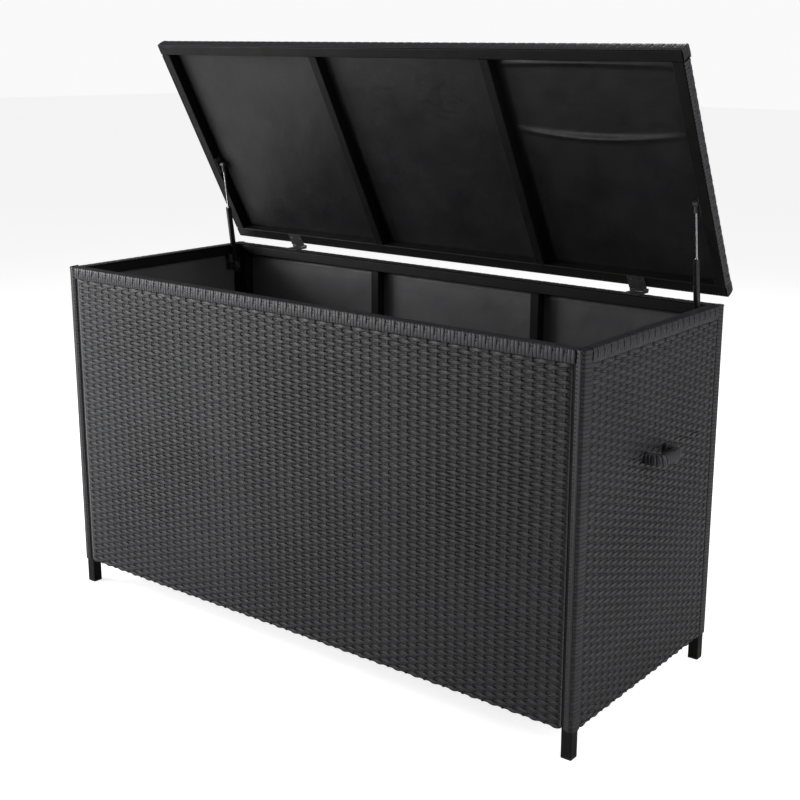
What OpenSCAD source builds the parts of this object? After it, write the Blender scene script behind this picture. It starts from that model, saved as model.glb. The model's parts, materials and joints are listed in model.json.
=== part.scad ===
// Deck storage box: wicker panels over a steel tube frame, with a hinged lid on two gas struts.
// Origin: on the ground, at the middle of the footprint with the lid held open.
// +X runs along the box to its right, +Y to the back where the hinges are, +Z up.

/* [Box] */
// Width of the box over the wicker
box_w = 1500; // [1200:10:1800]
// Depth of the box over the wicker
box_d = 595; // [480:5:760]
// Height of the rim above the ground
box_h = 840; // [600:5:1000]
// Height of the bottom edge of the panels above the ground
leg_clear = 62; // [45:1:120]

/* [Frame] */
// Outside width of the square steel tubes
tube = 25; // [20:1:30]
// Wall of the steel tubes
tube_wall = 1.5; // [1:0.1:2]
// Outside corner radius of the steel tubes
tube_r = 2.5; // [2:0.1:4]
// Distance between the two inner bars of the back, the front and the lid
bar_spacing = 498; // [350:1:600]
// How far those bars sit to the right of the middle
bar_shift = 23; // [0:1:40]
// Number of bars under the floor
floor_bars_n = 4; // [2:1:6]

/* [Wicker and lining] */
// Thickness of the woven panels
weave_t = 2.4; // [2:0.1:3.5]
// Thickness of the lining film
film_t = 0.6; // [0.4:0.1:1]
// Groove between a woven panel and the wrapped tubes beside it
seam = 1; // [0.5:0.1:2]

/* [Lid] */
// How far the lid overhangs each side of the box
lid_over_side = 4; // [1:0.5:10]
// How far the lid overhangs the back of the box
lid_over_back = 2; // [0:0.5:5]
// Gap between the rim and the closed lid
lid_gap = 3; // [2.8:0.1:5]
// Angle at which the gas struts stop the open lid
open_angle = 62; // [40:1:80]

/* [Hinges] */
// Distance of each hinge from the middle of the box
hinge_x = 530; // [400:5:560]
// Width of a hinge along the pin
hinge_w = 46; // [36:1:60]
// Distance of the pin behind the back of the box
hinge_back = 14; // [12:0.5:20]
// Height of the pin above the rim
hinge_up = 6; // [5.8:0.1:8]
// Radius of the hinge pin
pin_r = 2; // [1.5:0.1:2.5]
// Thickness of the hinge leaves
leaf_t = 1.2; // [1:0.1:1.2]

/* [Gas struts] */
// Distance of the lid stud from the hinge pin, along the closed lid
stud_reach = 244; // [220:1:260]
// Distance of the lower pivot in front of the hinge pin
pivot_fwd = 68; // [62:1:76]
// Distance of the lower pivot below the hinge pin
pivot_drop = 68; // [62:1:80]
// Outside radius of the strut cylinder
cyl_r = 7.5; // [6.5:0.1:9]
// Radius of the strut rod
rod_r = 3; // [2.5:0.1:4]
// Gap between the strut cylinder and the side frame
strut_gap = 1.5; // [1:0.1:6]

/* [Handles] */
// Distance of the handles below the rim
handle_drop = 270; // [150:5:340]
// Outside width of a handle
handle_w = 104; // [90:1:140]
// How far a handle stands out from the side
handle_out = 44; // [38:1:60]
// Width of the handle's square section
grip = 20; // [16:1:22]

/* [Hidden] */
$fn = 48;

eps = 0.5;                            // overshoot of a cut past the face it leaves
fit = 0.05;                           // radial clearance of a running fit
hole_fit = 0.2;                       // radial clearance of a bolt or screw hole
skin = weave_t + film_t;              // wicker and lining in front of the frame
band = skin + tube;                   // width of the wrapped edge round each panel
inner_x = box_w / 2 - band;           // inner face of the side frames
lid_w = box_w + 2 * lid_over_side;
lid_d = box_d + lid_over_back;
lid_t = tube + skin;

// Footprint: the open lid reaches behind the box, and the origin is in the middle of both
lid_back_reach = hinge_back + (lid_over_back - hinge_back) * cos(open_angle)
    + (lid_gap + lid_t - hinge_up) * sin(open_angle);
mid_y = -lid_back_reach / 2;
front_y = mid_y - box_d / 2;
back_y = mid_y + box_d / 2;
frame_front_y = front_y + skin;
frame_back_y = back_y - skin;
inner_front_y = front_y + band;
inner_back_y = back_y - band;
frame_x = box_w / 2 - skin;

frame_top = box_h - skin;
panel_top = box_h - band;
rail_low = leg_clear + skin;
floor_z = rail_low + tube;
bar_xs = [bar_shift - bar_spacing / 2, bar_shift + bar_spacing / 2];

hinge_y = back_y + hinge_back;
hinge_z = box_h + hinge_up;
lid_low = box_h + lid_gap;
lid_top = lid_low + lid_t;
lid_frame_top = lid_low + tube;
lid_back_y = back_y + lid_over_back;
lid_front_y = lid_back_y - lid_d;
lid_frame_x = lid_w / 2 - skin;
lid_frame_front_y = lid_front_y + skin;
lid_frame_back_y = lid_back_y - skin;
lid_inner_x = lid_frame_x - tube;

knuckle_wall = 2.2;
knuckle_r = pin_r + knuckle_wall;
knuckle_gap = 0.3;
leaf_break = 1;                       // gap between the lid leaf and the body half's knuckles
pin_end = 1;                          // how far the pin stands out of its knuckles
lid_knuckle_w = 18;
leaf_reach = 40;                      // leaf length in front of the pin
leaf_screw_y = -29;                   // screw line, measured from the pin
leaf_screw_x = 14;
screw_r = 2;
screw_len = 14;
csk_r = screw_r + leaf_t;             // countersunk head, ending flush with the leaf

strut_x = inner_x - strut_gap - cyl_r;
pivot_y = hinge_y - pivot_fwd;
pivot_z = hinge_z - pivot_drop;
stud_up = tube / 2;                   // stud height above the underside of the lid
stud_shut = [hinge_y - stud_reach, lid_low + stud_up];
stud_open = [
    hinge_y + (stud_shut[0] - hinge_y) * cos(open_angle) + (stud_shut[1] - hinge_z) * sin(open_angle),
    hinge_z - (stud_shut[0] - hinge_y) * sin(open_angle) + (stud_shut[1] - hinge_z) * cos(open_angle)
];
len_open = norm(stud_open - [pivot_y, pivot_z]);
len_shut = norm(stud_shut - [pivot_y, pivot_z]);
strut_lean = atan2(pivot_y - stud_open[0], stud_open[1] - pivot_z);
socket_r = 7;
socket_w = 12;
neck_r = 5;
socket_len = 20;
socket_bite = 9;                      // depth of the rod and of the cylinder's stub in the sockets
socket_gap = 2.3;                     // space left above the cylinder with the lid shut
cyl_base = 18;
cyl_top = len_shut - socket_len - socket_gap;
cyl_wall = 1.3;
cyl_end = 4;                          // thickness of the cylinder's closed end
guide_len = 12;
piston_len = 8;
piston_gap = 2;                       // space left above the piston with the lid open
pivot_pin_r = 4;
pin_shoulder = 2;                     // how far the pin's shoulder stands out round it
pin_head = 1.5;                       // how far the pin's head stands out round it
pin_head_t = 2;
side_play = 0.3;                      // play of a socket between its shoulder and its head
plate_t = 2;                          // thickness of the strut brackets
bracket_h = 40;
bracket_end_r = 10;
bracket_screw_z = 14;
bracket_foot = 24;
lid_plate_w = 44;
lid_plate_h = 20;
lid_screw_y = 15;
screw_bite = tube / 2 - 1;             // length of a bracket screw inside the tube
pan_r = 3.8;
pan_h = 1.8;
open_pivot_gap = 0.4;                 // gap between the lid stud and the strut's top socket

bolt_r = 3;
bolt_len = 40;
bolt_head_h = 4;
bolt_head_r = 5.8;
bolt_y_front = frame_front_y + tube / 2;
bolt_y_back = frame_back_y - tube / 2;
bolt_end_z = 60;                      // height of the lowest bolt above the bottom of the frame
bolt_top_drop = 15;                   // distance of the highest bolt below the strut brackets
bolt_high = pivot_z - bracket_h / 2 - bolt_top_drop;
bolt_zs = [rail_low + bolt_end_z, (rail_low + bolt_end_z + bolt_high) / 2, bolt_high];

handle_z = box_h - handle_drop;
grip_r = 6;
grip_inner = 8;                       // radius inside the handle's bends
grip_bend = grip / 2 + grip_inner;    // bend radius on the middle of the handle's section
handle_arm_y = handle_w / 2 - grip / 2;
handle_hole = 20;                     // depth of the threaded hole in each arm
bolt_spare = 2;                       // hole left past the end of the bolt

cap_h = 22;
cap_base = 4;                         // thickness of the foot below the tube
cap_play = 0.1;                       // play of the spigot in the tube

wicker = [0.21, 0.21, 0.22];
wrap_tone = [0.25, 0.25, 0.26];
paint = [0.08, 0.075, 0.075];
film = [0.17, 0.17, 0.18];
steel = [0.75, 0.75, 0.77];
black_plastic = [0.06, 0.06, 0.065];
dark_steel = [0.22, 0.22, 0.23];

// ---- Shapes used by more than one piece ----

module rounded_square(side, r) {
    translate([-side / 2 + r, -side / 2]) square([side - 2 * r, side]);
    translate([-side / 2, -side / 2 + r]) square([side, side - 2 * r]);
    for (sx = [-1, 1], sy = [-1, 1])
        translate([sx * (side / 2 - r), sy * (side / 2 - r)]) circle(r = r);
}

// Square tube standing on its end at the origin
module tube_z(len) {
    linear_extrude(len) difference() {
        rounded_square(tube, tube_r);
        rounded_square(tube - 2 * tube_wall, tube_r - tube_wall);
    }
}

module tube_x(x0, x1, y, z) {
    translate([x0, y, z]) rotate([90, 0, 90]) tube_z(x1 - x0);
}

module tube_y(y0, y1, x, z) {
    translate([x, y0, z]) rotate([-90, 0, 0]) tube_z(y1 - y0);
}

module rod_x(x0, x1, y, z, r) {
    translate([x0, y, z]) rotate([0, 90, 0]) cylinder(h = x1 - x0, r = r);
}

module rod_y(y0, y1, x, z, r) {
    translate([x, y0, z]) rotate([-90, 0, 0]) cylinder(h = y1 - y0, r = r);
}

module block(x, y, z) {
    translate([x[0], y[0], z[0]]) cube([x[1] - x[0], y[1] - y[0], z[1] - z[0]]);
}

module both_sides() {
    children();
    mirror([1, 0, 0]) children();
}

// Draws a lid piece in its closed place and turns it to the open stop
module on_lid() {
    translate([0, hinge_y, hinge_z])
        rotate([-open_angle, 0, 0])
            translate([0, -hinge_y, -hinge_z]) children();
}

// Local +Z runs from the lower pivot to the lid stud
module on_strut(side) {
    translate([side * strut_x, pivot_y, pivot_z]) rotate([strut_lean, 0, 0]) children();
}

// ---- Side frames ----

module frame_bolt_holes(r) {
    for (y = [bolt_y_front, bolt_y_back], z = bolt_zs)
        both_sides() rod_x(inner_x - tube - eps, inner_x + tube_wall + tube_r, y, z, r);
}

// Clearance hole going down from the origin
module screw_hole(depth) {
    mirror([0, 0, 1]) cylinder(h = depth, r = screw_r + hole_fit);
}

module bracket_screw_spots() {
    for (s = [-1, 1])
        both_sides() translate([inner_x + tube / 2, inner_back_y, pivot_z + s * bracket_screw_z]) children();
}

module post(side, y) {
    color(paint) difference() {
        translate([side * (inner_x + tube / 2), y, cap_base]) tube_z(frame_top - cap_base);
        frame_bolt_holes(bolt_r + hole_fit);
        bracket_screw_spots() rod_y(-eps, tube / 2, 0, 0, screw_r + hole_fit);
    }
}

module left_front_post() { post(-1, bolt_y_front); }
module left_back_post() { post(-1, bolt_y_back); }
module right_front_post() { post(1, bolt_y_front); }
module right_back_post() { post(1, bolt_y_back); }

module side_rail(side, z) {
    color(paint) tube_y(inner_front_y, inner_back_y, side * (inner_x + tube / 2), z);
}

module left_top_rail() { side_rail(-1, frame_top - tube / 2); }
module left_bottom_rail() { side_rail(-1, rail_low + tube / 2); }
module right_top_rail() { side_rail(1, frame_top - tube / 2); }
module right_bottom_rail() { side_rail(1, rail_low + tube / 2); }

module handle_bolt_holes(r) {
    for (s = [-1, 1])
        both_sides() rod_x(inner_x - eps, box_w / 2 + handle_hole, mid_y + s * handle_arm_y, handle_z, r);
}

module handle_rails() {
    color(paint) difference() {
        both_sides() side_rail(1, handle_z);
        handle_bolt_holes(bolt_r + hole_fit);
    }
}

// ---- Front and back frames ----

module long_rail(y, z) {
    color(paint) tube_x(-inner_x, inner_x, y, z);
}

module uprights(y) {
    color(paint) difference() {
        union() {
            for (x = bar_xs) translate([x, y, rail_low + tube]) tube_z(panel_top - floor_z);
            both_sides() translate([inner_x - tube / 2, y, rail_low + tube]) tube_z(panel_top - floor_z);
        }
        frame_bolt_holes(bolt_r + hole_fit);
    }
}

module front_top_rail() { long_rail(bolt_y_front, frame_top - tube / 2); }
module front_bottom_rail() { long_rail(bolt_y_front, rail_low + tube / 2); }
module front_uprights() { uprights(bolt_y_front); }
module back_bottom_rail() { long_rail(bolt_y_back, rail_low + tube / 2); }
module back_uprights() { uprights(bolt_y_back); }

module back_top_rail() {
    difference() {
        long_rail(bolt_y_back, frame_top - tube / 2);
        hinge_body_screw_spots() screw_hole(skin + leaf_t + tube / 2);
    }
}

// ---- Floor and feet ----

module floor_bars() {
    pitch = 2 * inner_x / (floor_bars_n + 1);
    color(paint) for (i = [1 : floor_bars_n])
        tube_y(inner_front_y, inner_back_y, -inner_x + i * pitch, rail_low + tube / 2);
}

// Plugs in the ends of the posts: a foot as wide as the tube, and a spigot up inside it
module foot_caps() {
    spigot = tube - 2 * tube_wall - 2 * cap_play;
    color(black_plastic) both_sides() for (y = [bolt_y_front, bolt_y_back])
        translate([inner_x + tube / 2, y, 0]) {
            linear_extrude(cap_base) rounded_square(tube, tube_r);
            linear_extrude(cap_h) rounded_square(spigot, tube_r - tube_wall);
        }
}

// ---- Woven panels and wrapped edges ----

// Front or back panel, with its edge turned in under the bottom rail
module long_weave(outer_y, inward) {
    y_face = inward > 0 ? [outer_y, outer_y + weave_t] : [outer_y - weave_t, outer_y];
    y_lip = inward > 0 ? [outer_y, outer_y + band] : [outer_y - band, outer_y];
    x_all = [-box_w / 2 + band + seam, box_w / 2 - band - seam];
    color(wicker) union() {
        block(x_all, y_face, [leg_clear, panel_top - seam]);
        block(x_all, y_lip, [leg_clear, leg_clear + weave_t]);
    }
}

module side_weave(side) {
    y_all = [inner_front_y + seam, inner_back_y - seam];
    color(wicker) difference() {
        mirror([side > 0 ? 0 : 1, 0, 0]) union() {
            block([box_w / 2 - weave_t, box_w / 2], y_all, [leg_clear, panel_top - seam]);
            block([inner_x, box_w / 2], y_all, [leg_clear, leg_clear + weave_t]);
        }
        handle_bolt_holes(bolt_r + hole_fit);
    }
}

module front_weave() { long_weave(front_y, 1); }
module back_weave() { long_weave(back_y, -1); }
module left_weave() { side_weave(-1); }
module right_weave() { side_weave(1); }

// Wicker wound round the rim: over the top and the outside of each top rail
module rim_wraps() {
    x_long = [-inner_x + seam, inner_x - seam];
    y_side = [inner_front_y + seam, inner_back_y - seam];
    color(wrap_tone) difference() {
        union() {
            block(x_long, [front_y, inner_front_y], [frame_top, box_h]);
            block(x_long, [front_y, frame_front_y], [panel_top, box_h]);
            block(x_long, [inner_back_y, back_y], [frame_top, box_h]);
            block(x_long, [frame_back_y, back_y], [panel_top, box_h]);
            both_sides() block([inner_x, box_w / 2], y_side, [frame_top, box_h]);
            both_sides() block([frame_x, box_w / 2], y_side, [panel_top, box_h]);
        }
        hinge_body_screw_spots() screw_hole(skin + leaf_t + eps);
    }
}

// Wicker wound round the outer faces of the corner posts, closed over the post's end
module corner_wraps() {
    color(wrap_tone) both_sides() {
        for (y = [[front_y, frame_front_y], [frame_back_y, back_y]])
            block([inner_x, box_w / 2], y, [leg_clear, box_h]);
        for (y = [[front_y, inner_front_y], [inner_back_y, back_y]]) {
            block([frame_x, box_w / 2], y, [leg_clear, box_h]);
            block([inner_x, box_w / 2], y, [frame_top, box_h]);
        }
    }
}

// ---- Lining film ----

module long_liner(y) {
    x_all = [-inner_x + seam, inner_x - seam];
    color(film) block(x_all, y, [leg_clear + weave_t, panel_top - seam]);
}

module side_liner(side) {
    color(film) difference() {
        mirror([side > 0 ? 0 : 1, 0, 0])
            block([frame_x, frame_x + film_t], [inner_front_y + seam, inner_back_y - seam],
                  [leg_clear + weave_t, panel_top - seam]);
        handle_bolt_holes(bolt_r + hole_fit);
    }
}

module front_liner() { long_liner([frame_front_y - film_t, frame_front_y]); }
module back_liner() { long_liner([frame_back_y, frame_back_y + film_t]); }
module left_liner() { side_liner(-1); }
module right_liner() { side_liner(1); }

module floor_liner() {
    color(film) block([-inner_x + seam, inner_x - seam], [inner_front_y + seam, inner_back_y - seam],
                      [floor_z, floor_z + film_t]);
}

// ---- Handles ----

// Bow handle lying flat: two arms, two bends and the grip bar
module handle() {
    reach = handle_out - grip / 2;
    color(wrap_tone) difference() {
        translate([box_w / 2, mid_y, handle_z]) union() {
            for (s = [-1, 1]) {
                translate([0, s * handle_arm_y, 0]) rotate([0, 90, 0])
                    linear_extrude(reach - grip_bend) rounded_square(grip, grip_r);
                translate([reach - grip_bend, s * (handle_arm_y - grip_bend), 0])
                    mirror([0, s > 0 ? 0 : 1, 0]) rotate_extrude(angle = 90)
                        translate([grip_bend, 0]) rounded_square(grip, grip_r);
            }
            translate([reach, -handle_arm_y + grip_bend, 0]) rotate([-90, 0, 0])
                linear_extrude(2 * (handle_arm_y - grip_bend)) rounded_square(grip, grip_r);
        }
        handle_bolt_holes(bolt_r + fit);
    }
}

module right_handle() { handle(); }
module left_handle() { mirror([1, 0, 0]) handle(); }

// ---- Bolts ----

// Hexagon bolt along +X, its head's underside at the origin
module hex_bolt_x(len) {
    rotate([0, 90, 0]) {
        cylinder(h = len, r = bolt_r);
        translate([0, 0, -bolt_head_h]) cylinder(h = bolt_head_h, r = bolt_head_r, $fn = 6);
    }
}

module frame_bolts() {
    color(dark_steel) both_sides() for (y = [bolt_y_front, bolt_y_back], z = bolt_zs)
        translate([inner_x - tube, y, z]) hex_bolt_x(bolt_len);
}

module handle_bolts() {
    color(dark_steel) both_sides() for (s = [-1, 1])
        translate([inner_x, mid_y + s * handle_arm_y, handle_z]) hex_bolt_x(band + handle_hole - bolt_spare);
}

// ---- Hinges ----

module at_hinges() {
    both_sides() translate([hinge_x, hinge_y, hinge_z]) children();
}

// Spots on the top face of the body leaf, +Z out of the leaf
module hinge_body_screw_spots() {
    for (s = [-1, 1]) at_hinges() translate([s * leaf_screw_x, leaf_screw_y, leaf_t - hinge_up]) children();
}

// Spots on the lower face of the lid leaf, +Z up into the lid
module hinge_lid_screw_spots() {
    for (s = [-1, 1])
        at_hinges() translate([s * leaf_screw_x, leaf_screw_y, lid_gap - hinge_up - leaf_t]) children();
}

// Countersunk screw pointing down from the origin
module csk_screw(extra, len) {
    mirror([0, 0, 1]) {
        cylinder(h = leaf_t, r1 = csk_r + extra, r2 = screw_r + extra);
        cylinder(h = len, r = screw_r + extra);
    }
}

module hinge_body_leaves() {
    leaf_low = -hinge_up;
    color(dark_steel) difference() {
        at_hinges() difference() {
            union() {
                block([-hinge_w / 2, hinge_w / 2], [-leaf_reach, pin_r], [leaf_low, leaf_low + leaf_t]);
                for (x = [[-hinge_w / 2, -lid_knuckle_w / 2 - knuckle_gap],
                          [lid_knuckle_w / 2 + knuckle_gap, hinge_w / 2]]) {
                    rod_x(x[0], x[1], 0, 0, knuckle_r);
                    block(x, [-pin_r, pin_r], [leaf_low, -pin_r - fit]);
                }
            }
            rod_x(-hinge_w, hinge_w, 0, 0, pin_r + fit);
        }
        hinge_body_screw_spots() csk_screw(fit, 2 * leaf_t);
    }
}

module hinge_lid_leaves() {
    leaf_z = [lid_gap - hinge_up - leaf_t, lid_gap - hinge_up];
    lid_knuckle_x = [-lid_knuckle_w / 2, lid_knuckle_w / 2];
    color(dark_steel) on_lid() difference() {
        at_hinges() difference() {
            union() {
                block([-hinge_w / 2, hinge_w / 2], [-leaf_reach, -knuckle_r - leaf_break], leaf_z);
                block(lid_knuckle_x, [-leaf_reach, -pin_r], leaf_z);
                rod_x(lid_knuckle_x[0], lid_knuckle_x[1], 0, 0, knuckle_r);
            }
            rod_x(-hinge_w, hinge_w, 0, 0, pin_r + fit);
        }
        hinge_lid_screw_spots() mirror([0, 0, 1]) csk_screw(fit, 2 * leaf_t);
    }
}

module hinge_pins() {
    color(steel) at_hinges() rod_x(-hinge_w / 2 - pin_end, hinge_w / 2 + pin_end, 0, 0, pin_r);
}

module hinge_body_screws() {
    color(steel) hinge_body_screw_spots() csk_screw(0, screw_len);
}

module hinge_lid_screws() {
    color(steel) on_lid() hinge_lid_screw_spots() mirror([0, 0, 1]) csk_screw(0, screw_len);
}

// ---- Lid ----

module lid_long_rail(y) {
    color(paint) on_lid() tube_x(-lid_frame_x, lid_frame_x, y, lid_low + tube / 2);
}

module lid_front_rail() { lid_long_rail(lid_frame_front_y + tube / 2); }

module lid_back_rail() {
    difference() {
        lid_long_rail(lid_frame_back_y - tube / 2);
        on_lid() hinge_lid_screw_spots() cylinder(h = tube / 2, r = screw_r + hole_fit);
    }
}

module lid_short_rail(x) {
    color(paint) on_lid() tube_y(lid_frame_front_y + tube, lid_frame_back_y - tube, x, lid_low + tube / 2);
}

module lid_bracket_spots() {
    for (s = [-1, 1])
        both_sides() translate([lid_inner_x, stud_shut[0] + s * lid_screw_y, stud_shut[1]]) children();
}

module lid_side_rail(side) {
    difference() {
        lid_short_rail(side * (lid_inner_x + tube / 2));
        on_lid() lid_bracket_spots() rod_x(-eps, tube / 2, 0, 0, screw_r + hole_fit);
    }
}

module lid_left_rail() { lid_side_rail(-1); }
module lid_right_rail() { lid_side_rail(1); }
module lid_left_crossbar() { lid_short_rail(bar_xs[0]); }
module lid_right_crossbar() { lid_short_rail(bar_xs[1]); }

module lid_sheet(z) {
    on_lid() block([-lid_inner_x + seam, lid_inner_x - seam],
                   [lid_front_y + band + seam, lid_back_y - band - seam], z);
}

module lid_weave() {
    color(wicker) lid_sheet([lid_top - weave_t, lid_top]);
}

module lid_liner() {
    color(film) lid_sheet([lid_frame_top, lid_frame_top + film_t]);
}

// Wicker wound round the lid's edge: over the top and the outside of its frame
module lid_edge_wraps() {
    x_long = [-lid_w / 2, lid_w / 2];
    y_side = [lid_front_y + band + seam, lid_back_y - band - seam];
    color(wrap_tone) on_lid() {
        block(x_long, [lid_front_y, lid_front_y + band], [lid_frame_top, lid_top]);
        block(x_long, [lid_front_y, lid_frame_front_y], [lid_low, lid_top]);
        block(x_long, [lid_back_y - band, lid_back_y], [lid_frame_top, lid_top]);
        block(x_long, [lid_frame_back_y, lid_back_y], [lid_low, lid_top]);
        both_sides() block([lid_inner_x, lid_w / 2], y_side, [lid_frame_top, lid_top]);
        both_sides() block([lid_frame_x, lid_w / 2], y_side, [lid_low, lid_top]);
    }
}

// ---- Gas struts ----

module strut_body_brackets() {
    shoulder_x = strut_x + socket_w / 2 + side_play;
    head_x = strut_x - socket_w / 2 - side_play;
    color(dark_steel) difference() {
        both_sides() {
            // foot on the front of the back post
            block([inner_x, inner_x + bracket_foot], [inner_back_y - plate_t, inner_back_y],
                  [pivot_z - bracket_h / 2, pivot_z + bracket_h / 2]);
            // ear that carries the pivot pin
            block([inner_x, inner_x + plate_t], [pivot_y, inner_back_y],
                  [pivot_z - bracket_end_r, pivot_z + bracket_end_r]);
            rod_x(inner_x, inner_x + plate_t, pivot_y, pivot_z, bracket_end_r);
            // shoulder, pin and its head
            rod_x(shoulder_x, inner_x, pivot_y, pivot_z, pivot_pin_r + pin_shoulder);
            rod_x(head_x, inner_x, pivot_y, pivot_z, pivot_pin_r);
            rod_x(head_x - pin_head_t, head_x, pivot_y, pivot_z, pivot_pin_r + pin_head);
        }
        bracket_screw_spots() rod_y(-plate_t - eps, eps, 0, 0, screw_r + hole_fit);
    }
}

module bracket_body_screws() {
    color(steel) bracket_screw_spots() {
        rod_y(-plate_t - pan_h, -plate_t, 0, 0, pan_r);
        rod_y(-plate_t, screw_bite, 0, 0, screw_r);
    }
}

// Plate on the inner face of the lid's side rail, with the stud that carries the strut
module strut_lid_brackets() {
    plate_y = [stud_shut[0] - lid_plate_w / 2, stud_shut[0] + lid_plate_w / 2];
    plate_z = [stud_shut[1] - lid_plate_h / 2, stud_shut[1] + lid_plate_h / 2];
    stud_end = strut_x + socket_w / 2 + open_pivot_gap;
    color(dark_steel) on_lid() difference() {
        both_sides() {
            block([lid_inner_x - plate_t, lid_inner_x], plate_y, plate_z);
            rod_x(stud_end, lid_inner_x - plate_t, stud_shut[0], stud_shut[1], pivot_pin_r);
        }
        lid_bracket_spots() rod_x(-plate_t - eps, eps, 0, 0, screw_r + hole_fit);
    }
}

module bracket_lid_screws() {
    color(steel) on_lid() lid_bracket_spots() {
        rod_x(-plate_t - pan_h, -plate_t, 0, 0, pan_r);
        rod_x(-plate_t, screw_bite, 0, 0, screw_r);
    }
}

module strut_cylinder(side) {
    hollow_low = cyl_base + cyl_end;
    color(black_plastic) on_strut(side) difference() {
        union() {
            translate([0, 0, cyl_base]) cylinder(h = cyl_top - cyl_base, r = cyl_r);
            translate([0, 0, cyl_base - socket_bite]) cylinder(h = socket_bite, r = rod_r);
        }
        translate([0, 0, hollow_low]) cylinder(h = cyl_top - guide_len - hollow_low, r = cyl_r - cyl_wall);
        translate([0, 0, hollow_low]) cylinder(h = cyl_top, r = rod_r + fit);
    }
}

module strut_rod(side) {
    piston_top = cyl_top - guide_len - piston_gap;
    color(steel) on_strut(side) {
        translate([0, 0, piston_top - piston_len])
            cylinder(h = len_open - socket_len + socket_bite - piston_top + piston_len, r = rod_r);
        translate([0, 0, piston_top - piston_len]) cylinder(h = piston_len, r = cyl_r - cyl_wall - fit);
    }
}

// Socket round a pivot at the origin, its neck up along +Z and bored for the rod or stub
module strut_socket(neck, bore) {
    color(black_plastic) difference() {
        union() {
            rod_x(-socket_w / 2, socket_w / 2, 0, 0, socket_r);
            cylinder(h = neck, r = neck_r);
        }
        if (bore > 0) rod_x(-socket_w, socket_w, 0, 0, bore);
        translate([0, 0, neck - socket_bite - eps]) cylinder(h = socket_bite + 2 * eps, r = rod_r + fit);
    }
}

module strut_top_socket(side) {
    on_strut(side) translate([0, 0, len_open]) mirror([0, 0, 1]) strut_socket(socket_len, 0);
}

module strut_bottom_socket(side) {
    on_strut(side) strut_socket(cyl_base, pivot_pin_r + fit);
}

module left_strut_cylinder() { strut_cylinder(-1); }
module left_strut_rod() { strut_rod(-1); }
module left_strut_top_socket() { strut_top_socket(-1); }
module left_strut_bottom_socket() { strut_bottom_socket(-1); }
module right_strut_cylinder() { strut_cylinder(1); }
module right_strut_rod() { strut_rod(1); }
module right_strut_top_socket() { strut_top_socket(1); }
module right_strut_bottom_socket() { strut_bottom_socket(1); }

left_front_post();
left_back_post();
right_front_post();
right_back_post();
left_top_rail();
left_bottom_rail();
right_top_rail();
right_bottom_rail();
front_top_rail();
front_bottom_rail();
front_uprights();
back_top_rail();
back_bottom_rail();
back_uprights();
handle_rails();
floor_bars();
foot_caps();
front_weave();
back_weave();
left_weave();
right_weave();
rim_wraps();
corner_wraps();
front_liner();
back_liner();
left_liner();
right_liner();
floor_liner();
left_handle();
right_handle();
handle_bolts();
frame_bolts();
hinge_body_leaves();
hinge_lid_leaves();
hinge_pins();
hinge_body_screws();
hinge_lid_screws();
lid_front_rail();
lid_back_rail();
lid_left_rail();
lid_right_rail();
lid_left_crossbar();
lid_right_crossbar();
lid_weave();
lid_liner();
lid_edge_wraps();
strut_body_brackets();
strut_lid_brackets();
bracket_body_screws();
bracket_lid_screws();
left_strut_cylinder();
left_strut_rod();
left_strut_top_socket();
left_strut_bottom_socket();
right_strut_cylinder();
right_strut_rod();
right_strut_top_socket();
right_strut_bottom_socket();
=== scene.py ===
import json
import math

import bmesh
import bpy
import numpy as np
from mathutils import Matrix, Vector


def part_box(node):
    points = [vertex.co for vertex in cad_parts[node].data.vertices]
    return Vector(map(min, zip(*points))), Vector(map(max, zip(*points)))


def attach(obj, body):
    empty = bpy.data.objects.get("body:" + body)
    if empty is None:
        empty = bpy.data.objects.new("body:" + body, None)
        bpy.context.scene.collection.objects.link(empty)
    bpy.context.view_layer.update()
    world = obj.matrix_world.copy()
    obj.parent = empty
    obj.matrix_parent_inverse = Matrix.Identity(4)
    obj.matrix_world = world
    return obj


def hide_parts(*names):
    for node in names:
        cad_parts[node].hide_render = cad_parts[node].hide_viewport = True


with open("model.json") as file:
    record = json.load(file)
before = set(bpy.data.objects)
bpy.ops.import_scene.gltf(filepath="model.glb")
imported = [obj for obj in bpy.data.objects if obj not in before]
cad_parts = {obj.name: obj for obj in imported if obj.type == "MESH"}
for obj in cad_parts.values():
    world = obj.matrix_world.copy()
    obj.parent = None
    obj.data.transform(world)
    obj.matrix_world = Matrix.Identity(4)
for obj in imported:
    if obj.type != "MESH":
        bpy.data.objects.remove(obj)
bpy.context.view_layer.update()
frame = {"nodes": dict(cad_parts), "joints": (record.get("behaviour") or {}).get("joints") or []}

# ---- Studio ----
# A pale seamless floor and white surroundings. The main soft lights stand at the left, others
# at the right and behind, and the camera stands to the right of the box at eye height.
scene = bpy.context.scene
scene.view_settings.view_transform = "Standard"

camera = bpy.data.objects.new("camera", bpy.data.cameras.new("camera"))
camera.location = (1.9379, -2.3486, 1.3752)
camera.rotation_euler = [math.radians(a) for a in (76.537, -0.5605, 36.7092)]
camera.data.lens = 58.72
camera.data.shift_x = -0.05625
camera.data.shift_y = -0.04575
camera.data.sensor_width = 36
scene.collection.objects.link(camera)
scene.camera = camera

sky_light = 0.12
sky_seen = 0.83
floor_seen = 0.8

surroundings = bpy.data.worlds.new("surroundings")
surroundings.use_nodes = True
sky = surroundings.node_tree
paths = sky.nodes.new("ShaderNodeLightPath")
seen = sky.nodes.new("ShaderNodeMath")
seen.operation = "MULTIPLY_ADD"
seen.inputs[1].default_value = sky_seen
seen.inputs[2].default_value = sky_light
sky.links.new(paths.outputs["Is Camera Ray"], seen.inputs[0])
sky.links.new(seen.outputs[0], sky.nodes["Background"].inputs["Strength"])
sky.nodes["Background"].inputs["Color"].default_value = (1, 1, 1, 1)
scene.world = surroundings


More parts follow.
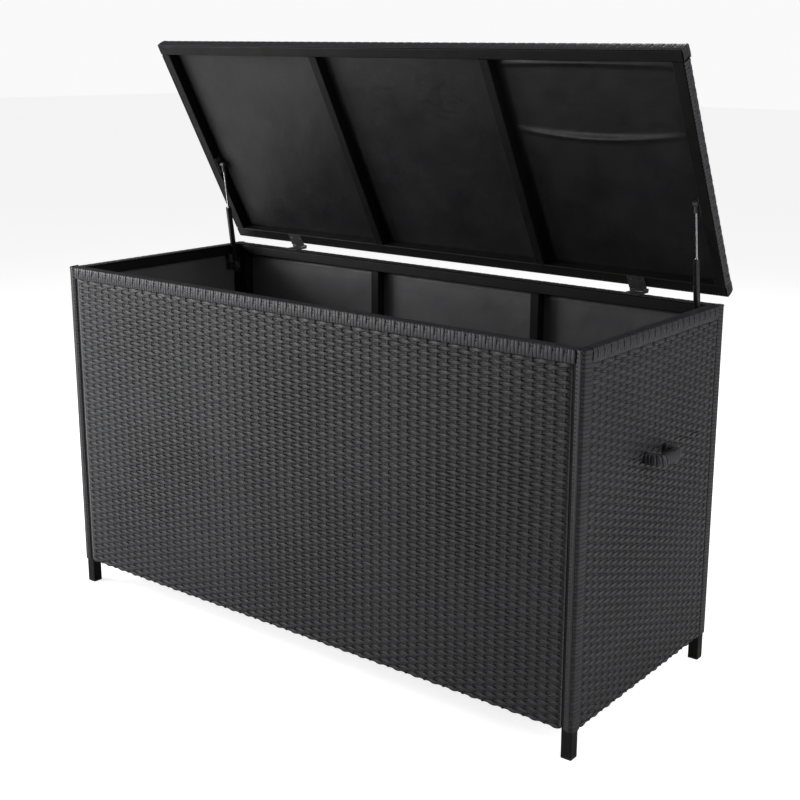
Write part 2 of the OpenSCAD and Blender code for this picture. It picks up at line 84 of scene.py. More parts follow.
def softbox(name, place, target, size, power):
    """A square area light at place, turned to face target"""
    light = bpy.data.objects.new(name, bpy.data.lights.new(name, "AREA"))
    light.data.shape = "SQUARE"
    light.data.size = size
    light.data.energy = power
    light.location = place
    aim = Vector(target) - Vector(place)
    light.rotation_euler = aim.to_track_quat("-Z", "Y").to_euler()
    scene.collection.objects.link(light)


softbox("key_light", (-2.9, -1.3, 1.5), (-0.7, -0.3, 0.5), 1.2, 59)
softbox("high_light", (-2.6, -2.4, 2.2), (-0.5, -0.3, 0.5), 1.4, 11)
softbox("low_light", (-2.2, -2.8, 0.7), (-0.5, -0.3, 0.5), 1.0, 34)
softbox("fill_light", (3.6, 0.4, 1.9), (0.7, 0, 0.5), 2.0, 62)
softbox("back_light", (0, 2.6, 3.4), (0, 0, 0.8), 2.0, 65)

ground = bmesh.new()
bmesh.ops.create_grid(ground, x_segments=1, y_segments=1, size=30)
floor_mesh = bpy.data.meshes.new("floor")
ground.to_mesh(floor_mesh)
floor = bpy.data.objects.new("floor", floor_mesh)
scene.collection.objects.link(floor)
floor_paint = bpy.data.materials.new("floor_paint")
floor_paint.use_nodes = True
floor_tree = floor_paint.node_tree
floor_shader = floor_tree.nodes["Principled BSDF"]
floor_shader.inputs["Base Color"].default_value = (0.82, 0.82, 0.82, 1)
floor_shader.inputs["Roughness"].default_value = 0.95
floor_shader.inputs["Emission Color"].default_value = (1, 1, 1, 1)
glow = floor_tree.nodes.new("ShaderNodeLightPath")
lift = floor_tree.nodes.new("ShaderNodeMath")
lift.operation = "MULTIPLY"
lift.inputs[1].default_value = floor_seen
floor_tree.links.new(glow.outputs["Is Camera Ray"], lift.inputs[0])
floor_tree.links.new(lift.outputs[0], floor_shader.inputs["Emission Strength"])
floor_mesh.materials.append(floor_paint)


# ---- Steel frame of the box ----
# Side frames of 25 mm square steel tube with the four corner posts, and front, back and
# floor frames between them. The tubes are welded and powder coated a warm black.
class Finish:
    """A material, with short calls for the nodes that give it its detail"""

    def __init__(self, name, colour, roughness, metallic=0.0):
        self.material = bpy.data.materials.new(name)
        self.material.use_nodes = True
        self.tree = self.material.node_tree
        self.shader = self.tree.nodes["Principled BSDF"]
        self.shader.inputs["Base Color"].default_value = (*colour, 1)
        self.shader.inputs["Roughness"].default_value = roughness
        self.shader.inputs["Metallic"].default_value = metallic
        self.place = self.tree.nodes.new("ShaderNodeTexCoord").outputs["Object"]

    def node(self, kind, links=(), **values):
        """A node with its inputs set from values and joined up from links"""
        made = self.tree.nodes.new("ShaderNode" + kind)
        for name, value in values.items():
            if hasattr(made, name):
                setattr(made, name, value)
            else:
                made.inputs[name.replace("_", " ")].default_value = value
        for name, source in dict(links).items():
            self.tree.links.new(source, made.inputs[name])
        return made

    def noise(self, scale, detail=2.0, place=None):
        source = {"Vector": self.place if place is None else place}
        return self.node("TexNoise", source, Scale=scale, Detail=detail).outputs["Fac"]

    def ramp(self, value, low, high, at=(0.3, 0.7)):
        """Greys or colours from low to high as value goes from at[0] to at[1]"""
        made = self.node("ValToRGB", {"Fac": value})
        for stop, place, tone in zip(made.color_ramp.elements, at, (low, high)):
            stop.position = place
            stop.color = (tone,) * 3 + (1,) if isinstance(tone, float) else (*tone, 1)
        return made.outputs["Color"]

    def paint(self, value, low, high, at=(0.3, 0.7)):
        self.tree.links.new(self.ramp(value, low, high, at), self.shader.inputs["Base Color"])

    def gloss(self, value, low, high, at=(0.3, 0.7)):
        self.tree.links.new(self.ramp(value, low, high, at), self.shader.inputs["Roughness"])

    def bump(self, height, distance, strength=1.0):
        """Adds relief of that height in metres to what the shader has already"""
        normal = self.shader.inputs["Normal"]
        links = {"Height": height}
        if normal.is_linked:
            links["Normal"] = normal.links[0].from_socket
        made = self.node("Bump", links, Distance=distance, Strength=strength)
        self.tree.links.new(made.outputs["Normal"], normal)


def dress(nodes, finish):
    """Gives CAD nodes their finish"""
    for name in nodes:
        mesh = frame["nodes"][name].data
        mesh.materials.clear()
        mesh.materials.append(finish.material)


coat = Finish("frame_powder_coat", (0.007, 0.006, 0.0058), 0.6)
coat.paint(coat.noise(9, 4), (0.0045, 0.0038, 0.0036), (0.0095, 0.008, 0.0075))
coat.gloss(coat.noise(35, 3), 0.5, 0.66)
coat.bump(coat.noise(900, 2), 0.00012)
coat.shader.inputs["Specular IOR Level"].default_value = 0.2
box_tubes = [
    "left_front_post", "left_back_post", "right_front_post", "right_back_post",
    "left_top_rail", "left_bottom_rail", "right_top_rail", "right_bottom_rail",
    "front_top_rail", "front_bottom_rail", "front_uprights",
    "back_top_rail", "back_bottom_rail", "back_uprights", "handle_rails", "floor_bars",
]
dress(box_tubes, coat)

# ---- Feet ----
# Moulded plastic plugs pressed into the ends of the four posts. They are matt, with blotchy scuffs
# all over.
plug = Finish("foot_plug_plastic", (0.02, 0.02, 0.021), 0.62)
plug.paint(plug.noise(60, 5), (0.014, 0.014, 0.015), (0.04, 0.039, 0.038), (0.42, 0.75))
plug.bump(plug.noise(1400, 2), 0.00008)
dress(["foot_caps"], plug)

# ---- Bolts ----
# M6 steel bolts with a black oxide finish: twelve hold the frames to the posts, and four
# hold the handles through the rail behind each of them.
oxide = Finish("bolt_black_oxide", (0.05, 0.05, 0.052), 0.4, 0.9)
oxide.gloss(oxide.noise(220, 3), 0.3, 0.52)
dress(["frame_bolts", "handle_bolts"], oxide)


# ---- Lining of the box ----
# Black coated cloth behind the wicker on all four walls, trapped under the frame tubes, and
# a sheet of it over the floor bars. It is cut flat and pulled fairly tight between the tubes.
def new_piece(name, bm, finish, body="box"):
    """Turns a bmesh into a finished piece that rides on a body"""
    mesh = bpy.data.meshes.new(name)
    bm.to_mesh(mesh)
    bm.free()
    mesh.shade_smooth()
    mesh.materials.append(finish.material)
    piece = bpy.data.objects.new(name, mesh)
    scene.collection.objects.link(piece)
    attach(piece, body)
    return piece


def axes(origin, along, up):
    """Matrix that puts local X along, Y up and Z outwards, with its origin at a point"""
    x, y = Vector(along), Vector(up)
    turned = Matrix((x, y, x.cross(y))).transposed().to_4x4()
    return Matrix.Translation(origin) @ turned


def coords_of(piece):
    coords = np.empty(len(piece.data.vertices) * 3, np.float32)
    piece.data.vertices.foreach_get("co", coords)
    return coords.reshape(-1, 3).astype(float)


def coated_cloth(name, dark, light, specular):
    cloth = Finish(name, dark, 0.5)
    cloth.paint(cloth.noise(3.5, 3), dark, light)
    cloth.gloss(cloth.noise(12, 3), 0.38, 0.54)
    cloth.bump(cloth.noise(1500, 1), 0.00006)
    cloth.bump(cloth.noise(22, 3), 0.0016)
    cloth.shader.inputs["Specular IOR Level"].default_value = specular
    return cloth


# Walls and lid are lined with the same cloth, given in two copies for how light falls on each: the
# walls' copy lighter, a painted sheen, and the lid's copy much darker, painted shade on the lid's
# underside.
lit_wall_cloth = coated_cloth("wall_lining_cloth", (0.095, 0.094, 0.1), (0.15, 0.148, 0.155), 0.5)
shaded_lid_cloth = coated_cloth("lid_lining_cloth", (0.012, 0.012, 0.0135), (0.021, 0.021, 0.023), 0.32)

cloth_t = 0.0006
slack = 0.0022
crease_w = 0.007
wall_hem = 0.0012
least_bay = 0.05
cells_x = 120
cells_y = 50
creased_cells_y = 200


def held_between(place, ends):
    """0 where cloth is held, at each of the ends, and 1 halfway between two of them"""
    bay = np.clip(np.searchsorted(ends, place, side="right") - 1, 0, len(ends) - 2)
    start, stop = np.array(ends)[bay], np.array(ends)[bay + 1]
    return np.sin(np.pi * np.clip((place - start) / (stop - start), 0, 1))


def lining_sheet(name, node, matrix, width, height, bars, body="box", creases=()):
    """A sheet with its corner at the origin of matrix, slack towards local +Z between bars. Each
    crease has its start and stop along X, its height at the ends, its bow and its lift."""
    bars = [bar for bar in bars if least_bay < bar < width - least_bay]
    rows = creased_cells_y if creases else cells_y
    bm = bmesh.new()
    bmesh.ops.create_grid(bm, x_segments=cells_x, y_segments=rows, size=0.5)
    bmesh.ops.translate(bm, verts=bm.verts, vec=(0.5, 0.5, 0))
    bmesh.ops.scale(bm, verts=bm.verts, vec=(width, height, 1))
    # The lid's lining gets the darker copy, painted shade.
    cloth = shaded_lid_cloth if body == "lid" else lit_wall_cloth
    piece = new_piece(name, bm, cloth, body)
    co = coords_of(piece)
    x, y = co[:, 0], co[:, 1]
    loose = held_between(x, [0, *bars, width]) * held_between(y, [0, height]) ** 0.6
    ripple = 0.6 + 0.25 * np.sin(9 * x + 14 * y) + 0.15 * np.sin(31 * x - 17 * y)
    co[:, 2] = slack * loose * ripple
    for start, stop, middle, bow, lift in creases:
        across = np.clip((x - start) / (stop - start), 0, 1)
        line = middle + bow * (1 - (2 * across - 1) ** 2)
        co[:, 2] += lift * np.sin(np.pi * across) * np.exp(-(((y - line) / crease_w) ** 2))
    piece.data.vertices.foreach_set("co", co.astype(np.float32).ravel())
    piece.data.transform(matrix)
    piece.data.update()
    wall = piece.modifiers.new("thickness", "SOLIDIFY")
    wall.thickness = cloth_t
    wall.offset = 0
    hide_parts(node)


def bar_places(node, start, sign):
    """Middles of the bars in a node, as distances along X from start"""
    xs = sorted({round(v.co.x, 4) for v in frame["nodes"][node].data.vertices})
    gaps = [i for i in range(1, len(xs)) if xs[i] - xs[i - 1] > least_bay]
    edges = [0, *gaps, len(xs)]
    middles = [(xs[a] + xs[b - 1]) / 2 for a, b in zip(edges, edges[1:])]
    return sorted(sign * (m - start) for m in middles)


up = (0, 0, 1)
walls = {"front": (-1, 0, 0), "back": (1, 0, 0), "left": (0, 1, 0), "right": (0, -1, 0)}
for wall, along in walls.items():
    low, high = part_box(f"{wall}_liner")
    middle = (low + high) / 2
    span = high - low
    wide = max(span.x, span.y) + 2 * wall_hem
    corner = Vector((middle.x, middle.y, low.z)) - Vector(along) * wide / 2
    uprights = bar_places(f"{wall}_uprights", corner.x, along[0]) if along[0] else []
    lining_sheet(f"{wall}_lining", f"{wall}_liner", axes(corner, along, up), wide,
                 span.z + wall_hem, uprights)
low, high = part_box("floor_liner")
corner = (low.x, high.y, (low.z + high.z) / 2)
lining_sheet("floor_lining", "floor_liner", axes(corner, (1, 0, 0), (0, -1, 0)),
             high.x - low.x, high.y - low.y, bar_places("floor_bars", low.x, 1))


# ---- Woven panels ----
# Flat strands of black polyethylene, 8 mm wide, woven over and under upright stakes 25 mm
# apart, a row higher each time, so the raised passes stand like bricks in a wall. The ends
# turn in beside the wound tubes.
strand_pitch = 0.0082
strand_t = 0.0011
stake_pitch = 0.0253
stake_w = 0.006
stake_deep = 0.0012
strand_fill = 0.98
crossing_width = 0.66
front_spread = 0.56
back_spread = 0.2
weave_deep = 0.0019
weave_rise = 0.00135
row_drift = 0.0003
steps_per_stake = 6
upright_steps = 12
edge_r = 0.006
deep_tuck = 0.0021
slight_tuck = 0.0008
top_tuck = 0.0006

strand_plastic = Finish("wicker_strand", (0.05, 0.05, 0.052), 0.4)
# The tone attribute sets the strand's colour and gloss. It holds painted light and shade (see
# where each piece computes it), mixed with a random tone per row and per turn.
tone = strand_plastic.node("Attribute", attribute_name="tone").outputs["Fac"]
strand_plastic.paint(tone, (0.0115, 0.0113, 0.0128), (0.037, 0.0365, 0.0415), (0.0, 1.0))
strand_uv = strand_plastic.node("UVMap", uv_map="strand").outputs["UV"]
ribs = strand_plastic.node("Mapping", {"Vector": strand_uv}, Scale=(30, 2600, 1)).outputs["Vector"]
strand_plastic.bump(strand_plastic.noise(1.0, 2, ribs), 0.00006)
strand_plastic.gloss(tone, 0.66, 0.42, (0.0, 1.0))


def strand_section(width, thick, edge=0.15):
    """Cross-section of a strand as (y, z) points, its edges at that part of its thickness"""
    half = width / 2
    return [(-half, edge * thick), (0, -thick / 2), (half, edge * thick),
            (0.5 * half, thick / 2), (-0.5 * half, thick / 2)]


def verts_of(geometry):
    return [part for part in geometry if isinstance(part, bmesh.types.BMVert)]


def straight_strand(bm, length, steps, section):
    """A closed strand along +X from the origin, with its length and girth in the strand UV map"""
    ring = [bm.verts.new((0, y, z)) for y, z in section]
    edges = [bm.edges.new((ring[i - 1], ring[i])) for i in range(len(ring))]
    side = bmesh.ops.extrude_edge_only(bm, edges=edges)["geom"]
    bmesh.ops.translate(bm, verts=verts_of(side), vec=(length, 0, 0))
    long_edges = [e for e in bm.edges if abs(e.verts[0].co.x - e.verts[1].co.x) > length / 2]
    bmesh.ops.subdivide_edges(bm, edges=long_edges, cuts=steps - 1, use_grid_fill=True)
    ends = [e for e in bm.edges if e.is_boundary]
    bmesh.ops.holes_fill(bm, edges=ends, sides=0)
    bmesh.ops.recalc_face_normals(bm, faces=bm.faces)
    uv = bm.loops.layers.uv.new("strand")
    for face in bm.faces:
        for loop in face.loops:
            loop[uv].uv = (loop.vert.co.x, loop.vert.co.y)


def strand_rows(rows, length, steps, pitch, section):
    """Straight strands side by side, row by row in +Y, and each vertex's row"""
    bm = bmesh.new()
    straight_strand(bm, length, steps, section)
    one = list(bm.verts) + list(bm.edges) + list(bm.faces)
    count = len(bm.verts)
    for row in rows[1:]:
        copy = bmesh.ops.duplicate(bm, geom=one)["geom"]
        shift = (row - rows[0]) * pitch
        bmesh.ops.translate(bm, verts=verts_of(copy), vec=(0, shift, 0))
    bmesh.ops.translate(bm, verts=bm.verts, vec=(0, (rows[0] + 0.5) * pitch, 0))
    return bm, np.repeat(np.array(rows), count)


def tucked(distance, depth):
    """How far a strand has turned in at that distance from the end of a panel"""
    short = np.clip(edge_r - distance, 0, edge_r)
    return np.minimum(edge_r - np.sqrt(edge_r**2 - short**2), depth)


def shape_piece(piece, coords, tones, matrix):
    """Moves a piece's vertices to coords, placed by matrix, and stores each one's tone"""
    mesh = piece.data
    mesh.vertices.foreach_set("co", coords.astype(np.float32).ravel())
    tone_data = mesh.attributes.new("tone", "FLOAT", "POINT").data
    tone_data.foreach_set("value", tones.astype(np.float32))
    mesh.transform(matrix)
    mesh.update()


def woven_panel(name, matrix, length, height, tuck, node=None, body="box"):
    """Strands woven over stakes on a panel length by height, its outer face at local Z = 0"""
    stakes = round(length / stake_pitch)
    rows = round(height / strand_pitch)
    stake_gap, row_gap = length / stakes, height / rows
    draw = np.random.default_rng(rows + stakes)
    sway, phase, shade = draw.uniform(0, 1, (3, rows))
    section = strand_section(strand_fill * row_gap, strand_t)
    steps = stakes * steps_per_stake
    for part, first in (("even_rows", 0), ("odd_rows", 1)):
        bm, row = strand_rows(range(first, rows, 2), length, steps, row_gap, section)
        piece = new_piece(f"{name}_{part}", bm, strand_plastic, body)
        co = coords_of(piece)
        x, centre, z = co[:, 0], (row + 0.5) * row_gap, co[:, 2]
        over = np.cos(np.pi * (x / stake_gap - 0.5 + row))
        raised = 0.5 + 0.5 * over
        spread = np.where(over > 0, front_spread, back_spread)
        width = crossing_width + spread * np.abs(over) ** 1.1
        drift = row_drift * np.sin(x * (5 + 9 * sway[row]) + 6.3 * phase[row])
        y = centre + (co[:, 1] - centre) * width + drift
        outward = z - weave_deep + weave_rise * (0.94 + 0.12 * sway[row]) * raised**1.9
        outward -= tucked(np.minimum(x, length - x), tuck)
        outward -= tucked(height - y, top_tuck)
        # Painted light: raised passes get a lighter colour, a painted highlight, and the passes
        # that dip behind the stakes get a darker colour, painted shade. A little random tone per
        # row is mixed in.
        relief_light_and_shade = 0.2 * shade[row] + 0.8 * raised**2.6
        shape_piece(piece, np.column_stack((x, y, outward)), relief_light_and_shade, matrix)
        if node and first == 0:
            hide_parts(node)
    section = strand_section(stake_w, strand_t)
    bm, number = strand_rows(range(stakes), height, upright_steps, stake_gap, section)
    uprights = new_piece(f"{name}_stakes", bm, strand_plastic, body)
    co = coords_of(uprights)
    turned = np.column_stack((co[:, 1], height - co[:, 0], co[:, 2] - stake_deep))
    # The stakes get the dark end of the tone with a little random tone: painted shade where they
    # sit deep between the raised passes.
    shape_piece(uprights, turned, draw.uniform(0, 0.2, stakes)[number], matrix)


front_low, front_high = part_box("front_weave")
back_low, back_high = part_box("back_weave")
right_low, right_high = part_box("right_weave")
left_low, left_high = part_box("left_weave")
panel_h = front_high.z - front_low.z
front_w = front_high.x - front_low.x
side_w = right_high.y - right_low.y
lip = front_high.y - front_low.y
woven_panel("front_wicker", axes(front_low, (1, 0, 0), up),
            front_w, panel_h, deep_tuck, "front_weave")
woven_panel("back_wicker", axes((back_high.x, back_high.y, back_low.z), (-1, 0, 0), up),
            front_w, panel_h, deep_tuck, "back_weave")
woven_panel("right_wicker", axes((right_high.x, right_low.y, right_low.z), (0, 1, 0), up),
            side_w, panel_h, slight_tuck, "right_weave")
woven_panel("left_wicker", axes((left_low.x, left_high.y, left_low.z), (0, -1, 0), up),
            side_w, panel_h, slight_tuck, "left_weave")
for name, corner, along, face_y, run in (
    ("front", (front_low.x, front_high.y, front_low.z), (1, 0, 0), (0, -1, 0), front_w),
    ("back", (back_low.x, back_high.y, back_low.z), (1, 0, 0), (0, -1, 0), front_w),
    ("right", (right_high.x, right_high.y, right_low.z), (0, -1, 0), (-1, 0, 0), side_w),
    ("left", (left_low.x + lip, left_high.y, left_low.z), (0, -1, 0), (-1, 0, 0), side_w),
):
    woven_panel(f"{name}_wicker_lip", axes(corner, along, face_y), run, lip, slight_tuck)


# ---- Wound corner posts and rim ----
# The same strand wound round the posts and the top rails, turn against turn, its ends turned
# in beside the panels. A flat runner lies along one face: over every turn on the posts, and
# under two turns and over the third on the rim.
turn_pitch = 0.00843
turn_steps = 20
turn_overlap = 1.03
turn_edge = 0.32
turn_slant = 0.3
turn_shift = 0.00012
wound_r = 0.004
runner_w = 0.0075
runner_in = 0.0115
runner_highlight_tone = 0.8
sunk = 0.0006
over_rise = 0.0005
over_reach = 0.0055
over_light = 0.2
under_drop = 0.0006
under_in = 0.006
under_reach = 0.0095
under_shade = 0.3
swell = 0.0005
patch_rows = 3
patch_steps = 12
patch_deep = 0.0007
patch_tuck = 0.0025
past_band = 0.0005


def wound_edge(name, matrix, run, reaches, tucks, passes, tones, body="box"):
    """Strand wound round two faces of a tube along local X: one at Z = 0 that reaches -Y, with
    the runner, and one at Y = 0 that reaches -Z. Of each group of as many turns as passes, the
    last goes under the runner and the others over it."""
    turns = round(run / turn_pitch)
    pitch = run / turns
    arc = math.pi * wound_r / 2
    flats = [reach - wound_r for reach in reaches]
    girth = sum(flats) + arc
    draw = np.random.default_rng(turns + passes)
    section = strand_section(turn_overlap * pitch, strand_t, turn_edge)
    bm, turn = strand_rows(range(turns), girth, turn_steps, pitch, section)
    winding = new_piece(name, bm, strand_plastic, body)
    co = coords_of(winding)
    s = co[:, 0] - flats[0] - arc / 2
    past = np.maximum(np.abs(s) - arc / 2, 0)
    over = (turn + 1) % passes != 0
    near = np.exp(-(((past + wound_r - runner_in) / over_reach) ** 4)) * (s < 0)
    dip = np.exp(-(((s + under_in) / under_reach) ** 4))
    depth = co[:, 2] - sunk + np.where(over, near * over_rise, -dip * under_drop)
    depth += swell * np.sin(np.pi * past / np.where(s < 0, *flats))
    depth -= tucked(co[:, 0], tucks[0]) + tucked(girth - co[:, 0], tucks[1])
    angle = np.clip(s / wound_r, -math.pi / 4, math.pi / 4) + math.pi / 4
    y = -wound_r + (wound_r + depth) * np.sin(angle) - past * (s < 0)
    z = -wound_r + (wound_r + depth) * np.cos(angle) - past * (s > 0)
    slant = turn_slant * pitch * s / girth + draw.normal(0, turn_shift, turns)[turn]
    # Painted light on the turns: the tones range is lighter or darker for how light falls on each
    # edge, with a random tone per turn between its ends. Turns over the runner get a painted
    # highlight beside it, and every other turn that dips under the runner gets painted shade in
    # the pit.
    darker = ~over & (turn % 2 == 0)
    shade = draw.uniform(*tones, turns)[turn] + over_light * near * over
    shade -= under_shade * dip * darker
    shape_piece(winding, np.column_stack((run - co[:, 1] + slant, y, z)), shade, matrix)
    each = np.arange(turns)
    centres = run - (each + 0.5) * pitch
    below, above = over_rise - strand_t, strand_t - under_drop
    levels = np.where((each + 1) % passes != 0, below, above) - sunk
    bm, _ = strand_rows([0], run, turns * 2, runner_w, strand_section(runner_w, strand_t))
    runner = new_piece(f"{name}_runner", bm, strand_plastic, body)
    co = coords_of(runner)
    co[:, 1] -= runner_w / 2 + runner_in
    co[:, 2] += np.interp(co[:, 0], centres[::-1], levels[::-1])
    # The runner is given a light tone, a painted highlight on its ridge.
    shape_piece(runner, co, np.full(len(co), runner_highlight_tone), matrix)
    return winding


def end_patch(name, matrix, width, height, body="box"):
    """Short strands side by side over the end of a tube, their ends turned in"""
    section = strand_section(strand_fill * height / patch_rows, strand_t)
    bm, row = strand_rows(range(patch_rows), width, patch_steps, height / patch_rows, section)
    patch = new_piece(name, bm, strand_plastic, body)
    co = coords_of(patch)
    co[:, 2] -= patch_deep + tucked(np.minimum(co[:, 0], width - co[:, 0]), patch_tuck)
    shape_piece(patch, co, 0.2 + 0.25 * row, matrix)


post_low, post_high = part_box("corner_wraps")
rim_low, rim_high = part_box("rim_wraps")
band = lip
post_face = 0.0215
post_h = post_high.z - post_low.z
corners = {
    "left_front": (post_low.x, post_low.y, (0, -1, 0), (-1, 0, 0)),
    "right_front": (post_high.x, post_low.y, (0, -1, 0), (1, 0, 0)),
    "left_back": (post_low.x, post_high.y, (0, 1, 0), (-1, 0, 0)),
    "right_back": (post_high.x, post_high.y, (0, 1, 0), (1, 0, 0)),
}
# The posts' turns are given dark tones, painted shade in the grooves beside the panels.
for corner, (x, y, face_z, face_y) in corners.items():
    along = Vector(face_y).cross(Vector(face_z))
    base = post_low.z if along.z > 0 else post_high.z
    winding = wound_edge(f"{corner}_post_winding", axes((x, y, base), along, face_y), post_h,
                         (post_face, band + past_band), (deep_tuck, slight_tuck), 1, (0.35, 0.6))
    if corner == "left_front":
        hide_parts("corner_wraps")
    edge = Vector((x, y, post_high.z))
    edge.x -= band if x > 0 else 0
    edge.y -= band if y > 0 else 0
    end_patch(f"{corner}_post_top", axes(edge, (1, 0, 0), (0, 1, 0)), band, band)

past_post = post_low.x + post_face
rims = {
    "front_rim": ((past_post, rim_low.y, rim_high.z), (1, 0, 0), up, -2 * past_post),
    "back_rim": ((-past_post, rim_high.y, rim_high.z), (-1, 0, 0), up, -2 * past_post),
    "right_rim": ((rim_high.x, right_low.y, rim_high.z), (0, 1, 0), up, side_w),
    "left_rim": ((rim_low.x, left_high.y, rim_high.z), (0, -1, 0), up, side_w),
}
# The rim's turns are given light tones, painted light on its rounded top edge.
for name, (origin, along, face_y, run) in rims.items():
    winding = wound_edge(f"{name}_winding", axes(origin, along, face_y), run,
                         (band + past_band, band), (slight_tuck, slight_tuck), 3, (0.7, 1.0))
    if name == "front_rim":
        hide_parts("rim_wraps")

# ---- Handles ----
# A steel bow on each side, bolted through the rail behind the wicker, with one strand wound
# round it from end to end.
bow_bend = 0.018
bow_steps = 24
bow_fill = 0.99
# The whole handle winding gets a light tone, painted light for the grip's lit top face.
bow_lit_tone = 0.7
bow_skin = 0.0004
bow_square = 0.5
glance = 0.001


def bow_winding(name, low, high, out):
    """One strand wound round a handle whose arms reach out along X from the box's side"""
    grip = high.z - low.z
    arm = (high.y - low.y - grip) / 2
    reach = high.x - low.x - grip / 2
    turn = np.linspace(0, math.pi / 2, 13)
    bend_x = reach - bow_bend + bow_bend * np.sin(turn)
    bend_y = arm - bow_bend + bow_bend * np.cos(turn)
    bends = [*zip(bend_x, -bend_y), *zip(bend_x[::-1], bend_y[::-1])]
    path = np.array([(0.0, -arm), *bends, (0.0, arm)])
    walked = np.concatenate(([0], np.cumsum(np.linalg.norm(np.diff(path, axis=0), axis=1))))

    def on_path(distance):
        distance = np.clip(distance, 0, walked[-1])
        return np.column_stack([np.interp(distance, walked, path[:, i]) for i in (0, 1)])

    turns = round(walked[-1] / strand_pitch)
    section = strand_section(bow_fill * walked[-1] / turns, strand_t)
    bm = bmesh.new()
    straight_strand(bm, turns * 4 * grip, turns * bow_steps, section)
    piece = new_piece(name, bm, strand_plastic)
    co = coords_of(piece)
    around = 2 * math.pi * co[:, 0] / (4 * grip)
    t = np.clip(co[:, 0] / (turns * 4 * grip) * walked[-1] + co[:, 1], 0, walked[-1])
    place = on_path(t)
    stride = on_path(t + glance) - on_path(t - glance)
    heading = stride / np.linalg.norm(stride, axis=1)[:, None]
    half = grip / 2 + bow_skin + co[:, 2]
    side = half * np.sign(np.cos(around)) * np.abs(np.cos(around)) ** bow_square
    rise = half * np.sign(np.sin(around)) * np.abs(np.sin(around)) ** bow_square
    x = place[:, 0] - heading[:, 1] * side
    y = place[:, 1] + heading[:, 0] * side
    middle = (low + high) / 2
    start = Vector((low.x if out > 0 else high.x, middle.y, middle.z))
    matrix = axes(start, (out, 0, 0), (0, out, 0))
    shape_piece(piece, np.column_stack((x, y, rise)), np.full(len(co), bow_lit_tone), matrix)


grip_core = Finish("handle_core", (0.012, 0.012, 0.0125), 0.5)
grip_core.gloss(grip_core.noise(60, 3), 0.42, 0.6)
dress(["left_handle", "right_handle"], grip_core)
bow_winding("right_handle_winding", *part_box("right_handle"), 1)
bow_winding("left_handle_winding", *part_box("left_handle"), -1)

# ---- Hinges ----
# Two coated steel hinges: a leaf screwed to the rim, a leaf screwed up into the lid's back
# rail, and a zinc plated pin through the knuckles between them.
hinge_coat = Finish("hinge_coating", (0.06, 0.06, 0.063), 0.45, 0.2)
hinge_coat.paint(hinge_coat.noise(90, 4), (0.045, 0.045, 0.048), (0.075, 0.075, 0.078))
hinge_coat.gloss(hinge_coat.noise(160, 3), 0.36, 0.52)
hinge_coat.bump(hinge_coat.noise(1100, 2), 0.00005)
dress(["hinge_body_leaves", "hinge_lid_leaves"], hinge_coat)

zinc = Finish("zinc_plate", (0.55, 0.55, 0.57), 0.32, 1.0)
zinc.paint(zinc.noise(150, 4), (0.42, 0.42, 0.44), (0.62, 0.62, 0.64))
zinc.gloss(zinc.noise(240, 3), 0.24, 0.42)
dress(["hinge_pins", "hinge_body_screws", "hinge_lid_screws"], zinc)

# ---- Lid ----
# A welded tube frame with two crossbars, lined and woven like the walls and wound round its
# edge. Two creases run across the right bay of its lining. The lid is shaped here as if shut
# and then turned open about the hinge pins.
hinge = next(j for j in frame["joints"] if j["name"] == "lid_hinge")
pin = Vector(hinge["pos_m"])
turn_open = Matrix.Rotation(-math.radians(hinge["range_deg"][1]), 4, hinge["axis"])
opened = Matrix.Translation(pin) @ turn_open @ Matrix.Translation(-pin)
closed = opened.inverted()


def shut_box(node):
    """Lowest and highest corners of a lid node with the lid shut"""
    places = [closed @ v.co for v in frame["nodes"][node].data.vertices]
    return Vector(map(min, zip(*places))), Vector(map(max, zip(*places)))


dress(["lid_front_rail", "lid_back_rail", "lid_left_rail", "lid_right_rail",
       "lid_left_crossbar", "lid_right_crossbar"], coat)

lid_hem = 0.005
lid_past_band = 0.0015
crossbars = ["lid_left_crossbar", "lid_right_crossbar"]
low, high = shut_box("lid_liner")
wide, deep = high.x - low.x + 2 * lid_hem, high.y - low.y + 2 * lid_hem
bars = [sum(v.x for v in shut_box(bar)) / 2 - low.x + lid_hem for bar in crossbars]
creases = (
    (bars[1], wide, deep - 0.027, 0.008, 0.007),
    (bars[1], wide, deep - 0.182, -0.018, 0.008),
)
corner = (low.x - lid_hem, high.y + lid_hem, (low.z + high.z) / 2)
lining_sheet("lid_lining", "lid_liner", opened @ axes(corner, (1, 0, 0), (0, -1, 0)),
             wide, deep, bars, "lid", creases)

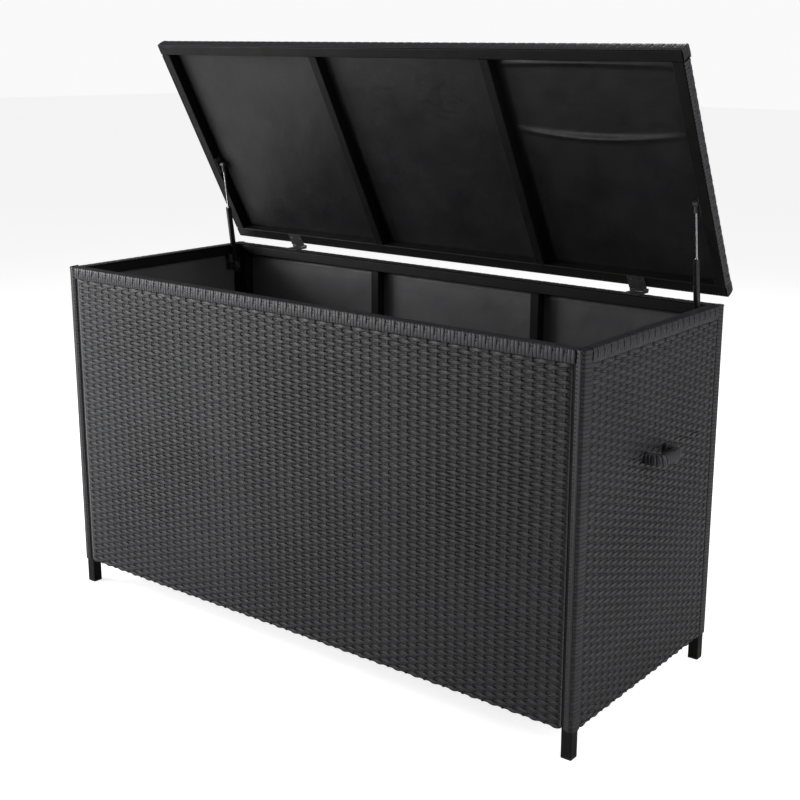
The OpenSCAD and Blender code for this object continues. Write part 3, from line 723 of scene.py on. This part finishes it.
low, high = shut_box("lid_weave")
woven_panel("lid_wicker", opened @ axes((low.x, low.y, high.z), (1, 0, 0), (0, 1, 0)),
            high.x - low.x, high.y - low.y, slight_tuck, "lid_weave", "lid")
in_low, in_high = low, high
low, high = shut_box("lid_edge_wraps")
lid_edges = {
    "lid_front_edge": ((low.x, low.y, high.z), (1, 0, 0), high.x - low.x),
    "lid_back_edge": ((high.x, high.y, high.z), (-1, 0, 0), high.x - low.x),
    "lid_right_edge": ((high.x, in_low.y, high.z), (0, 1, 0), in_high.y - in_low.y),
    "lid_left_edge": ((low.x, in_high.y, high.z), (0, -1, 0), in_high.y - in_low.y),
}
lid_face = high.z - low.z
# The lid edges' turns are given the lightest tones, painted light on the faces that catch the top
# light.
for name, (origin, along, run) in lid_edges.items():
    winding = wound_edge(f"{name}_winding", opened @ axes(origin, along, up), run,
                         (lid_face, band + lid_past_band), (slight_tuck, slight_tuck),
                         3, (0.8, 1.05), "lid")
    if name == "lid_front_edge":
        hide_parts("lid_edge_wraps")
for name, origin, along in (
    ("lid_left_front_end", (low.x, low.y + band, low.z), (0, -1, 0)),
    ("lid_left_back_end", (low.x, high.y, low.z), (0, -1, 0)),
    ("lid_right_front_end", (high.x, low.y, low.z), (0, 1, 0)),
    ("lid_right_back_end", (high.x, high.y - band, low.z), (0, 1, 0)),
):
    end_patch(name, opened @ axes(origin, along, up), band, band, "lid")

# ---- Gas struts ----
# A gas strut at each end: a black enamelled cylinder below, a ground and chromed rod above,
# a moulded socket at either end, and the steel brackets that carry the ball studs.
enamel = Finish("strut_enamel", (0.012, 0.012, 0.013), 0.22)
enamel.gloss(enamel.noise(70, 3), 0.16, 0.3)
enamel.shader.inputs["Coat Weight"].default_value = 0.3
dress(["left_strut_cylinder", "right_strut_cylinder"], enamel)
chrome = Finish("strut_rod_chrome", (0.7, 0.7, 0.72), 0.16, 1.0)
chrome.gloss(chrome.noise(300, 2), 0.12, 0.24)
dress(["left_strut_rod", "right_strut_rod"], chrome)
socket = Finish("strut_socket_plastic", (0.05, 0.05, 0.053), 0.4)
socket.paint(socket.noise(120, 3), (0.035, 0.035, 0.037), (0.06, 0.06, 0.063))
socket.bump(socket.noise(1300, 2), 0.00006)
dress(["left_strut_top_socket", "left_strut_bottom_socket",
       "right_strut_top_socket", "right_strut_bottom_socket"], socket)
dress(["strut_body_brackets", "strut_lid_brackets"], hinge_coat)
dress(["bracket_body_screws", "bracket_lid_screws"], zinc)
